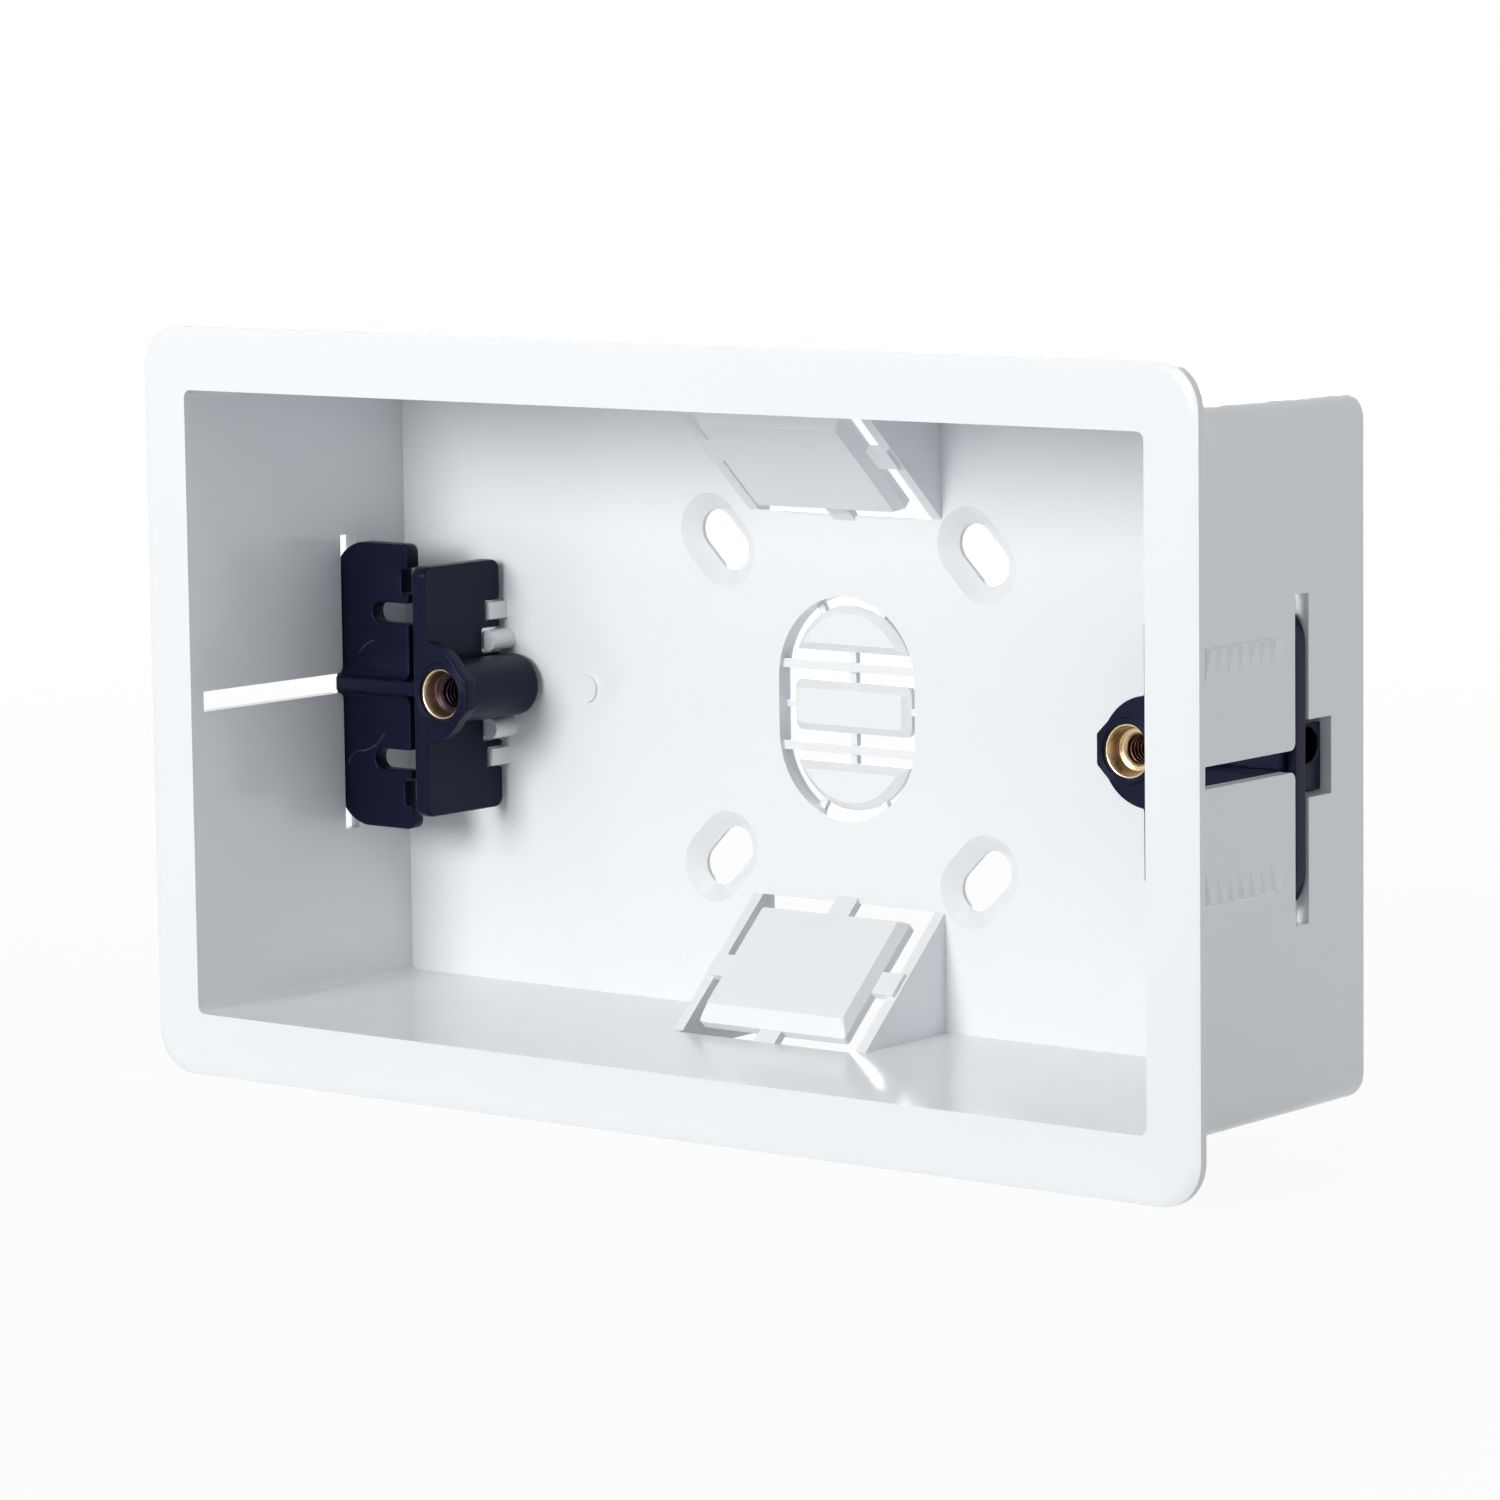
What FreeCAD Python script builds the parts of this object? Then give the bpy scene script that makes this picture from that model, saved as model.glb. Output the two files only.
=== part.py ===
"""Double dry-lining back box: a white moulded tray whose flange sits on the face of a plasterboard
wall, with two black sliding clamps stored inside it, each carrying a brass screw insert.

Sizes are in millimetres. X runs to the right seen from the front, Y runs back into the wall and Z up.
The origin is the middle of the front opening, in the plane of the flange's front face, where the
faceplate closes the box.
"""
import FreeCAD
import Part
import math
import os

V = FreeCAD.Vector

# How far cutting solids run past the faces they open, and how deep added solids sink into others.
OVER = 1.0
SINK = 0.2

# The tray: opening, walls and flange.
OPENING_W = 130.0
OPENING_H = 70.0
OPENING_R = 0.9
DEPTH_IN = 35.5
DRAFT_IN = 0.4
WALL_SIDE = 1.5
WALL_TOP = 2.25
DRAFT_OUT = 0.5
BACK_T = 2.0
BODY_FRONT_R = 4.2
BODY_BACK_R = 2.8
RIM_SIDE = 6.3
RIM_TOP = 7.0
FLANGE_T = 1.3
FLANGE_R = 4.9
FLANGE_EDGE_W = 1.2
FLANGE_EDGE_T = 0.35
DEPTH = DEPTH_IN + BACK_T
INNER_BACK_W = OPENING_W - 2 * DRAFT_IN
INNER_BACK_H = OPENING_H - 2 * DRAFT_IN
BODY_FRONT_W = OPENING_W + 2 * WALL_SIDE
BODY_FRONT_H = OPENING_H + 2 * WALL_TOP
BODY_BACK_W = BODY_FRONT_W - 2 * DRAFT_OUT
BODY_BACK_H = BODY_FRONT_H - 2 * DRAFT_OUT
FLANGE_W = OPENING_W + 2 * RIM_SIDE
FLANGE_H = OPENING_H + 2 * RIM_TOP

# Countersunk 45 degree fixing slots in the back wall.
FIX_X = 17.9
FIX_Z = 17.7
FIX_SLOT_W = 4.5
FIX_SLOT_RUN = 3.1
FIX_SINK_W = 8.3
FIX_SINK_DEPTH = 1.5

# Rear cable knockout: an obround opening closed by three bevelled plates and two bars.
KO_HALF_W = 9.4
KO_ARC_Z = 3.0
KO_PLATE_HALF_W = 8.0
KO_PLATE_R = 8.3
KO_PLATE_SINK = 0.5
KO_PLATE_BEVEL = 0.85
KO_SKIN = 0.7
KO_MID_HALF_H = 2.8
KO_MID_R = 0.9
KO_D_LOW = 6.15
KO_BAR_Z = 4.55
KO_BAR_H = 1.0
KO_BAR_SINK = 0.6
KO_WEB = 0.8
KO_RIM_WEB_ANGLE = 29.0

# Corner cable entries: a three-sided pocket cut across each long back edge, closed by a slanted plate.
ENTRY_HALF_W = 12.0
ENTRY_SIDE_T = 1.3
ENTRY_UP = 13.2
ENTRY_FWD = 14.2
ENTRY_LIP = 1.0
PLATE_HALF_W = 10.15
PLATE_LOW = -8.8
PLATE_HIGH = 7.45
PLATE_R = 0.45
PLATE_PAD_R = 0.3
PLATE_BACK = -0.5
PLATE_SKIN = 1.0
PLATE_RAISE = 1.15
PLATE_BEVEL_SIDE = 0.75
PLATE_BEVEL_LOW = 1.8
PLATE_BEVEL_HIGH = 0.8
TAB_W = 2.9
TAB_T = 0.9
TAB_SIDE_AT = -0.9
TAB_LAP = 0.95
TAB_ROOT = 0.4
TAB_UPPER_REACH = 1.2
TAB_LOWER_REACH = 1.4

# Clamp, as the right-hand one in its stored place; x is the distance from the middle of the box.
TRAVEL = 13.0
STOP_GAP = 0.7
SIDE_T = 1.9
SIDE_IN = OPENING_W / 2.0 - STOP_GAP - SIDE_T - TRAVEL
SIDE_BACK_GAP = 0.8
SIDE_BACK = DEPTH_IN - SIDE_BACK_GAP
SIDE_D = 12.9
SIDE_FRONT = SIDE_BACK - SIDE_D
SIDE_HALF_H = 14.2
SIDE_R = 1.2
WING_START = 5.3
WING_IN = SIDE_IN + WING_START
WING_REACH = 1.0
WING_OUT = OPENING_W / 2.0 + WING_REACH
WING_SETBACK = 3.15
WING_Y = SIDE_FRONT + WING_SETBACK
WING_T = 2.0
WING_HALF_H = 16.3
WING_R = 4.6
WING_IN_R = 0.9
WEB_HALF_H = 0.85
WEB_FOOT_R = 1.25
WEB_FRONT = WING_Y - WEB_FOOT_R
LUG_INSET = 1.0
LUG_OUT = WING_OUT - LUG_INSET
LUG_L = 3.8
LUG_RISE = 4.15
LUG_Y = WING_Y + WING_T + LUG_RISE
LUG_LOW = 3.7
LUG_HIGH = 3.35
LUG_WALL = 0.5
LUG_END_T = 0.4
LUG_HOLE_R = 1.85
LUG_HOLE_RISE = 1.95
LUG_HOLE_Y = WING_Y + WING_T + LUG_HOLE_RISE
LUG_HOLE_Z = 1.1
PAWL_SLOT_Z = 8.4
PAWL_SLOT_H = 2.3
PAWL_SLOT_L = 5.5
PAWL_NICK_Z = 12.1
PAWL_NICK_H = 2.9
PAWL_NICK_D = 1.0
INSERT_INSET = 2.1
INSERT_X = SIDE_IN - INSERT_INSET
HEAD_PROUD = 0.3
HEAD_FRONT = SIDE_FRONT - HEAD_PROUD
HEAD_R = 3.5
HEAD_FLAT = 3.9
HEAD_T = 1.7
COLLAR_R = 5.9
COLLAR_SHIFT = 0.5
COLLAR_X = SIDE_IN + COLLAR_SHIFT
BOSS_R = 3.55
BOSS_BACK_GAP = 0.4
BOSS_BACK = DEPTH_IN - BOSS_BACK_GAP
BOSS_EDGE = 0.5

# Side wall slots that the clamps travel in.
SIDE_GAP = 0.25
WING_END_GAP = 0.65
LUG_GAP = 0.3
SLOT_GAP = 0.28
SLOT_HALF_H = WEB_HALF_H + SLOT_GAP
SLOT_FRONT = 2.0
SLOT_FLARE_R = 0.8

# Ratchet pads on the outside of the side walls.
PAD_FIRST_Y = 8.4
PAD_PITCH = 1.95
PAD_TEETH = 7
PAD_LOW_Z = 9.3
PAD_HIGH_Z = 12.6
PAD_TOP_Z = 12.95
PAD_RISE = 0.55
PAD_ROOT = 0.1
PAD_STEEP = 0.35

# Pegs on the back wall that locate the stored clamps, and the gate mark.
PEG_GAP = 0.2
PEG_FRONT_GAP = 0.3
PIN_INSET = 0.4
PIN_X = SIDE_IN - PIN_INSET
PIN_Z = 5.05
PIN_R = 1.2
PIN_L = 3.6
NUB_SHIFT = 0.6
NUB_X = SIDE_IN + NUB_SHIFT
NUB_Z = 8.4
NUB_SIDE = 1.9
NUB_L = 3.0
GATE_X = -37.3
GATE_R = 1.6
GATE_L = 0.35

# Brass insert for an M3.5 screw.
INSERT_R = 2.9
INSERT_RECESS = 0.5
INSERT_L = 9.7
THREAD_R = 1.45
MOUTH_R = 2.65
MOUTH_FLOOR_R = 2.25
MOUTH_DEPTH = 1.7
THREAD_LEAD = 0.35
SCREW_RUN_R = 1.9
SCREW_RUN_L = 1.6


def box_between(x0, x1, y0, y1, z0, z1):
    """Block between two corners."""
    return Part.makeBox(x1 - x0, y1 - y0, z1 - z0, V(x0, y0, z0))


def outline(points):
    """Closed wire through points."""
    return Part.makePolygon(points + [points[0]])


def rounded_outline(corners, y):
    """Closed outline at depth y from (x, z, radius) corners, each rounded by its radius."""
    count = len(corners)
    runs = []
    for i in range(count):
        x, z, r = corners[i]
        before = corners[i - 1]
        after = corners[(i + 1) % count]
        here = V(x, y, z)
        back = (V(before[0], y, before[1]) - here).normalize()
        ahead = (V(after[0], y, after[1]) - here).normalize()
        if r == 0:
            runs.append((here, None, here))
            continue
        half = back.getAngle(ahead) / 2.0
        reach = r / math.tan(half)
        middle = (back + ahead).normalize()
        centre = here + middle * (r / math.sin(half))
        runs.append((here + back * reach, centre - middle * r, here + ahead * reach))
    edges = []
    for i in range(count):
        start, mid, end = runs[i]
        if mid is not None:
            edges.append(Part.Arc(start, mid, end).toShape())
        following = runs[(i + 1) % count][0]
        if (following - end).Length > 1e-6:
            edges.append(Part.makeLine(end, following))
    return Part.Wire(edges)


def rounded_rectangle(width, height, radius, y):
    """Rounded rectangle centred on the box's axis at depth y."""
    x = width / 2.0
    z = height / 2.0
    return rounded_outline([(-x, -z, radius), (x, -z, radius), (x, z, radius), (-x, z, radius)], y)


def obround(width, run, y):
    """Obround standing along Z: two half circles of this width whose centres are run apart."""
    r = width / 2.0
    h = run / 2.0
    top = Part.Arc(V(r, y, h), V(0, y, h + r), V(-r, y, h)).toShape()
    bottom = Part.Arc(V(-r, y, -h), V(0, y, -h - r), V(r, y, -h)).toShape()
    left = Part.makeLine(V(-r, y, h), V(-r, y, -h))
    right = Part.makeLine(V(r, y, -h), V(r, y, h))
    return Part.Wire([top, left, bottom, right])


def back_from(wire, length):
    """Solid that reaches back from a flat outline by length."""
    return Part.Face(wire).extrude(V(0, length, 0))


def rod(x, z, radius, y0, y1):
    """Round rod along Y."""
    return Part.makeCylinder(radius, y1 - y0, V(x, y0, z), V(0, 1, 0))


def cone(x, z, r0, r1, y0, y1):
    """Cone along Y, from radius r0 at y0 to r1 at y1."""
    return Part.makeCone(r0, r1, y1 - y0, V(x, y0, z), V(0, 1, 0))


def flipped(shape):
    """The same shape seen upside down, mirrored in the level mid-plane."""
    return shape.mirror(V(0, 0, 0), V(0, 0, 1))


def swapped(shape):
    """The same shape on the other side, mirrored in the upright mid-plane."""
    return shape.mirror(V(0, 0, 0), V(1, 0, 0))


def turned(shape):
    """The same piece used on the other side, turned half a turn about the box's axis."""
    copy = shape.copy()
    copy.rotate(V(0, 0, 0), V(0, 1, 0), 180)
    return copy


def wall_half_width(y):
    """Half the outside width of the tray at depth y."""
    return (BODY_FRONT_W + (BODY_BACK_W - BODY_FRONT_W) * y / DEPTH) / 2.0


def flange():
    """Flange plate with a shallow bevel round its front edge."""
    inset = 2 * FLANGE_EDGE_W
    face = rounded_rectangle(FLANGE_W - inset, FLANGE_H - inset, FLANGE_R - FLANGE_EDGE_W, 0)
    rim = rounded_rectangle(FLANGE_W, FLANGE_H, FLANGE_R, FLANGE_EDGE_T)
    bevel = Part.makeLoft([face, rim], True, True)
    return bevel.fuse(back_from(rim, FLANGE_T - FLANGE_EDGE_T))


def shell():
    """Flange and tapered tray, hollowed from the front."""
    front = rounded_rectangle(BODY_FRONT_W, BODY_FRONT_H, BODY_FRONT_R, 0.5 * FLANGE_T)
    back = rounded_rectangle(BODY_BACK_W, BODY_BACK_H, BODY_BACK_R, DEPTH)
    outside = Part.makeLoft([front, back], True, True)
    lead = (OPENING_W - INNER_BACK_W) / DEPTH_IN
    mouth = rounded_rectangle(OPENING_W + lead, OPENING_H + lead, OPENING_R, -OVER)
    floor = rounded_rectangle(INNER_BACK_W, INNER_BACK_H, OPENING_R, DEPTH_IN)
    return flange().fuse(outside).cut(Part.makeLoft([mouth, floor], True, True))


def fixing_slot(x, z, lean):
    """Countersunk slot that leans from upright by lean degrees."""
    sink = obround(FIX_SINK_W, FIX_SLOT_RUN, DEPTH_IN)
    neck = obround(FIX_SLOT_W, FIX_SLOT_RUN, DEPTH_IN + FIX_SINK_DEPTH)
    hole = Part.makeLoft([sink, neck], True, True)
    hole = hole.fuse(back_from(neck, BACK_T))
    hole.rotate(V(0, 0, 0), V(0, 1, 0), lean)
    hole.translate(V(x, 0, z))
    return hole


def fixing_slots():
    """Upper pair leaning one way, lower pair mirrored below them."""
    upper = [fixing_slot(-FIX_X, FIX_Z, -45), fixing_slot(FIX_X, FIX_Z, -45)]
    return upper + [flipped(s) for s in upper]


def raised_plate(wide, narrow):
    """Knockout plate: a skin level with the back of the wall and a bevelled pad on its front."""
    base_y = DEPTH - KO_SKIN
    pad = Part.makeLoft([narrow(DEPTH_IN + KO_PLATE_SINK), wide(base_y)], True, True)
    return pad.fuse(back_from(wide(base_y), KO_SKIN))


def end_plate():
    """D-shaped plate in the round end of the knockout."""
    def plate(shrink):
        half_w = KO_PLATE_HALF_W - shrink
        r = KO_PLATE_R - shrink
        low = KO_D_LOW + shrink
        rise = math.sqrt(r * r - half_w * half_w)
        side = KO_ARC_Z + rise

        def at(y):
            if side <= low:
                reach = math.sqrt(r * r - (low - KO_ARC_Z) ** 2)
                arc = Part.Arc(V(reach, y, low), V(0, y, KO_ARC_Z + r), V(-reach, y, low)).toShape()
                return Part.Wire([arc, Part.makeLine(V(-reach, y, low), V(reach, y, low))])
            arc = Part.Arc(V(half_w, y, side), V(0, y, KO_ARC_Z + r), V(-half_w, y, side)).toShape()
            left = Part.makeLine(V(-half_w, y, side), V(-half_w, y, low))
            foot = Part.makeLine(V(-half_w, y, low), V(half_w, y, low))
            right = Part.makeLine(V(half_w, y, low), V(half_w, y, side))
            return Part.Wire([arc, left, foot, right])
        return at
    return raised_plate(plate(0.0), plate(KO_PLATE_BEVEL))


def middle_plate():
    """Rectangular plate between the two bars."""
    def plate(shrink):
        def at(y):
            w = 2 * (KO_PLATE_HALF_W - shrink)
            h = 2 * (KO_MID_HALF_H - shrink)
            return rounded_rectangle(w, h, KO_MID_R - 0.5 * shrink, y)
        return at
    return raised_plate(plate(0.0), plate(KO_PLATE_BEVEL))


def knockout_webs():
    """Thin webs that hold the plates: to the bars on the middle line, and out to the rim."""
    y0 = DEPTH - KO_SKIN
    half = KO_WEB / 2.0
    webs = [box_between(-half, half, y0, DEPTH, -KO_D_LOW - SINK, KO_D_LOW + SINK)]
    reach = KO_HALF_W + SINK
    webs.append(box_between(-reach, reach, y0, DEPTH, -half, half))
    for angle in (-KO_RIM_WEB_ANGLE, KO_RIM_WEB_ANGLE):
        web = box_between(-half, half, y0, DEPTH, KO_PLATE_R - SINK, reach)
        web.rotate(V(0, 0, 0), V(0, 1, 0), angle)
        web.translate(V(0, 0, KO_ARC_Z))
        webs.extend([web, flipped(web)])
    return webs


def knockout_opening():
    """Obround opening through the back wall."""
    return back_from(obround(2 * KO_HALF_W, 2 * KO_ARC_Z, DEPTH_IN - OVER), BACK_T + 2 * OVER)


def knockout_fill():
    """Everything that bridges the opening: plates, bars and webs."""
    end = end_plate()
    pieces = [middle_plate(), end, flipped(end)]
    reach = KO_HALF_W + SINK
    for z in (-KO_BAR_Z, KO_BAR_Z):
        low = z - KO_BAR_H / 2.0
        pieces.append(box_between(-reach, reach, DEPTH_IN + KO_BAR_SINK, DEPTH, low, low + KO_BAR_H))
    return pieces + knockout_webs()


def entry_frame_points():
    """Where the slanted face of the lower corner entry meets the back wall and the floor."""
    floor_z = -INNER_BACK_H / 2.0
    high = V(0, DEPTH_IN, floor_z + ENTRY_UP)
    low = V(0, DEPTH_IN - ENTRY_FWD, floor_z)
    return high, low


def entry_sides():
    """Two triangular side walls of the lower corner entry."""
    high, low = entry_frame_points()
    under = -BODY_BACK_H / 2.0 + SINK
    rise = SINK * ENTRY_UP / ENTRY_FWD
    walls = []
    for x in (-ENTRY_HALF_W - ENTRY_SIDE_T, ENTRY_HALF_W):
        corners = [
            V(x, high.y + SINK, high.z + rise),
            V(x, high.y + SINK, under),
            V(x, low.y - SINK, under),
            V(x, low.y - SINK, low.z - rise),
        ]
        walls.append(Part.Face(outline(corners)).extrude(V(ENTRY_SIDE_T, 0, 0)))
    return walls


def entry_cut():
    """Corner material removed between the side walls of the lower entry."""
    high, low = entry_frame_points()
    below = -BODY_FRONT_H / 2.0 - OVER
    front = low.y - ENTRY_LIP
    wall = box_between(-ENTRY_HALF_W, ENTRY_HALF_W, DEPTH_IN - OVER, DEPTH + OVER, below, high.z)
    floor = box_between(-ENTRY_HALF_W, ENTRY_HALF_W, front, DEPTH + OVER, below, low.z + OVER)
    return wall.fuse(floor)


def slanted(shape):
    """Tilt a shape onto the lower entry: its Y turns up the slope and its Z points out into the box."""
    high, low = entry_frame_points()
    up = (high - low).normalize()
    out = V(1, 0, 0).cross(up)
    turn = FreeCAD.Rotation(V(1, 0, 0), up, out, "ZXY")
    placed = shape.copy()
    placed.Placement = FreeCAD.Placement((high + low) * 0.5, turn).multiply(shape.Placement)
    return placed


def slope_outline(half_w, low, high, radius, level):
    """Rounded rectangle drawn flat at this level, from low to high up the slope."""
    ends = [(-half_w, low), (half_w, low), (half_w, high), (-half_w, high)]
    flat = rounded_outline([(x, z, radius) for x, z in ends], 0)
    flat.rotate(V(0, 0, 0), V(1, 0, 0), -90)
    flat.translate(V(0, 0, level))
    return flat


def entry_plate():
    """Slanted plate: a skin with a bevelled pad on its inner face."""
    skin_top = PLATE_BACK + PLATE_SKIN
    wide = slope_outline(PLATE_HALF_W, PLATE_LOW, PLATE_HIGH, PLATE_R, skin_top)
    narrow = slope_outline(
        PLATE_HALF_W - PLATE_BEVEL_SIDE, PLATE_LOW + PLATE_BEVEL_LOW, PLATE_HIGH - PLATE_BEVEL_HIGH,
        PLATE_PAD_R, skin_top + PLATE_RAISE)
    pad = Part.makeLoft([wide, narrow], True, True)
    skin = Part.Face(wide).extrude(V(0, 0, -PLATE_SKIN))
    return slanted(pad.fuse(skin))


def entry_tabs():
    """Break-off tabs from the middle of each side of the plate, lapped over the walls beside it."""
    high, low = entry_frame_points()
    half_run = (high - low).Length / 2.0
    half = TAB_W / 2.0
    top = PLATE_BACK + PLATE_SKIN
    reach = ENTRY_HALF_W + TAB_LAP
    inner = PLATE_HALF_W - TAB_ROOT
    tabs = []
    for x0, x1 in ((-reach, -inner), (inner, reach)):
        tabs.append(slanted(box_between(x0, x1, TAB_SIDE_AT - half, TAB_SIDE_AT + half, top - TAB_T, top)))
    upper_end = half_run + TAB_UPPER_REACH
    tabs.append(slanted(box_between(-half, half, PLATE_HIGH - TAB_ROOT, upper_end, top - TAB_T, top)))
    lower_end = -half_run - TAB_LOWER_REACH
    tabs.append(slanted(box_between(-half, half, lower_end, PLATE_LOW + TAB_ROOT, top - TAB_T, top)))
    return tabs


def side_slots():
    """Slots in the right side wall that the clamp's wing, lug and web pass through."""
    x0 = INNER_BACK_W / 2.0 - OVER
    x1 = BODY_FRONT_W / 2.0 + OVER
    front = WING_Y - SIDE_GAP
    back = WING_Y + WING_T + SIDE_GAP
    reach = WING_HALF_H + WING_END_GAP
    upright = box_between(x0, x1, front, back, -reach, reach)
    half = LUG_LOW + LUG_GAP
    notch = box_between(x0, x1, front, LUG_Y + LUG_GAP, -half, half)
    cut = upright.fuse(notch)
    r = SLOT_FLARE_R
    wide = SLOT_HALF_H + r
    flare_y = front - r
    lip = math.sqrt(0.5) * r
    upper = V(x0, flare_y + lip, wide - lip)
    lower = V(x0, flare_y + lip, lip - wide)
    level = [
        Part.makeLine(V(x0, front, -wide), V(x0, front, wide)),
        Part.Arc(V(x0, front, wide), upper, V(x0, flare_y, SLOT_HALF_H)).toShape(),
        Part.makeLine(V(x0, flare_y, SLOT_HALF_H), V(x0, SLOT_FRONT, SLOT_HALF_H)),
        Part.makeLine(V(x0, SLOT_FRONT, SLOT_HALF_H), V(x0, SLOT_FRONT, -SLOT_HALF_H)),
        Part.makeLine(V(x0, SLOT_FRONT, -SLOT_HALF_H), V(x0, flare_y, -SLOT_HALF_H)),
        Part.Arc(V(x0, flare_y, -SLOT_HALF_H), lower, V(x0, front, -wide)).toShape(),
    ]
    channel = Part.Face(Part.Wire(level)).extrude(V(x1 - x0, 0, 0))
    return cut.fuse(channel)


def ratchet_pad():
    """Row of saw teeth on the right wall, above the slot: steep towards the flange, so that the clamp
    steps forward over them and can't slip back, and sinking into the wall towards the slot."""
    teeth = []
    buried = BODY_BACK_W / 2.0 - 0.5 * WALL_SIDE
    for i in range(PAD_TEETH):
        y0 = PAD_FIRST_Y + i * PAD_PITCH
        y1 = y0 + PAD_PITCH
        wall = wall_half_width(y0)
        root = wall + PAD_ROOT
        tip = wall + PAD_RISE
        saw = outline([
            V(buried, y0, PAD_LOW_Z), V(root, y0, PAD_LOW_Z), V(tip, y0 + PAD_STEEP, PAD_LOW_Z),
            V(root, y1, PAD_LOW_Z), V(buried, y1, PAD_LOW_Z)])
        tooth = Part.Face(saw).extrude(V(0, 0, PAD_TOP_Z - PAD_LOW_Z))
        start = y0 - SINK
        wedge = outline([
            V(buried, start, PAD_LOW_Z), V(wall, start, PAD_LOW_Z), V(tip, start, PAD_HIGH_Z),
            V(wall, start, PAD_TOP_Z), V(buried, start, PAD_TOP_Z)])
        teeth.append(tooth.common(back_from(wedge, PAD_PITCH + 2 * SINK)))
    return teeth


def back_wall_pegs():
    """Round pins and square nubs beside one stored clamp."""
    root = DEPTH_IN + SINK
    pegs = []
    half = NUB_SIDE / 2.0
    for z in (-PIN_Z, PIN_Z):
        pegs.append(rod(PIN_X, z, PIN_R, DEPTH_IN - PIN_L, root))
    for z in (-NUB_Z, NUB_Z):
        pegs.append(box_between(NUB_X - half, NUB_X + half, DEPTH_IN - NUB_L, root, z - half, z + half))
    return pegs


def tray():
    """The white moulding, one piece from flange to knockouts."""
    body = shell()
    entry = entry_cut()
    openings = fixing_slots() + [knockout_opening(), entry, flipped(entry)]
    slots = side_slots()
    openings += [slots, swapped(slots)]
    body = body.cut(openings)
    added = knockout_fill()
    for part in entry_sides() + [entry_plate()] + entry_tabs():
        added.extend([part, flipped(part)])
    for tooth in ratchet_pad():
        added.extend([tooth, flipped(tooth), swapped(tooth), flipped(swapped(tooth))])
    for peg in back_wall_pegs():
        added.extend([peg, swapped(peg)])
    added.append(rod(GATE_X, 0, GATE_R, DEPTH_IN - GATE_L, DEPTH_IN + SINK))
    return body.fuse(added).removeSplitter()


def wing():
    """Wing that bears on the back of the plasterboard, with its two ratchet fingers."""
    z = WING_HALF_H
    corners = [
        (WING_IN, -z, WING_IN_R), (WING_OUT, -z, WING_R), (WING_OUT, z, WING_R), (WING_IN, z, WING_IN_R)]
    plate = back_from(rounded_outline(corners, WING_Y), WING_T)
    back = WING_Y + WING_T
    for side in (-1, 1):
        mid = side * PAWL_SLOT_Z
        r = PAWL_SLOT_H / 2.0
        bend = WING_IN + PAWL_SLOT_L - r
        run = box_between(WING_IN - OVER, bend, WING_Y - OVER, back + OVER, mid - r, mid + r)
        end = rod(bend, mid, r, WING_Y - OVER, back + OVER)
        low = side * PAWL_NICK_Z - PAWL_NICK_H / 2.0
        nick_end = WING_IN + PAWL_NICK_D
        nick = box_between(WING_IN - OVER, nick_end, WING_Y - OVER, back + OVER, low, low + PAWL_NICK_H)
        plate = plate.cut([run, end, nick])
    return plate


def lug():
    """Pierced lug behind the wing's outer end, hollow from behind and from within: the hole gives a
    screwdriver's tip a hold for drawing the clamp out."""
    back = WING_Y + WING_T
    start = LUG_OUT - LUG_L
    block = box_between(start, LUG_OUT, back - SINK, LUG_Y, -LUG_LOW, LUG_HIGH)
    hollow = box_between(
        start - OVER, LUG_OUT - LUG_END_T, back, LUG_Y + OVER, LUG_WALL - LUG_LOW, LUG_HIGH - LUG_WALL)
    hole = Part.makeCylinder(
        LUG_HOLE_R, 2 * OVER, V(LUG_OUT - OVER, LUG_HOLE_Y, LUG_HOLE_Z), V(1, 0, 0))
    return block.cut([hollow, hole])


def web():
    """Flat web that joins the wing to the side plate and runs in the level slot of the box."""
    start = SIDE_IN + 0.5 * SIDE_T
    root = WING_Y + SINK
    wide = WEB_HALF_H + WEB_FOOT_R
    bend = WEB_FOOT_R * (1 - math.sqrt(0.5))
    upper = V(start, WING_Y - bend, WEB_HALF_H + bend)
    lower = V(start, WING_Y - bend, -WEB_HALF_H - bend)
    section = [
        Part.makeLine(V(start, WEB_FRONT, -WEB_HALF_H), V(start, WEB_FRONT, WEB_HALF_H)),
        Part.Arc(V(start, WEB_FRONT, WEB_HALF_H), upper, V(start, WING_Y, wide)).toShape(),
        Part.makeLine(V(start, WING_Y, wide), V(start, root, wide)),
        Part.makeLine(V(start, root, wide), V(start, root, -wide)),
        Part.makeLine(V(start, root, -wide), V(start, WING_Y, -wide)),
        Part.Arc(V(start, WING_Y, -wide), lower, V(start, WEB_FRONT, -WEB_HALF_H)).toShape(),
    ]
    proud = Part.Face(Part.Wire(section)).extrude(V(LUG_OUT - start, 0, 0))
    spare = box_between(SIDE_IN, WING_IN, WEB_FRONT - OVER, LUG_Y, -WING_HALF_H, WING_HALF_H)
    neck = box_between(start, WING_IN + SINK, WEB_FRONT, WING_Y + WING_T, -WEB_HALF_H, WEB_HALF_H)
    return proud.cut(spare).fuse(neck)


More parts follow.
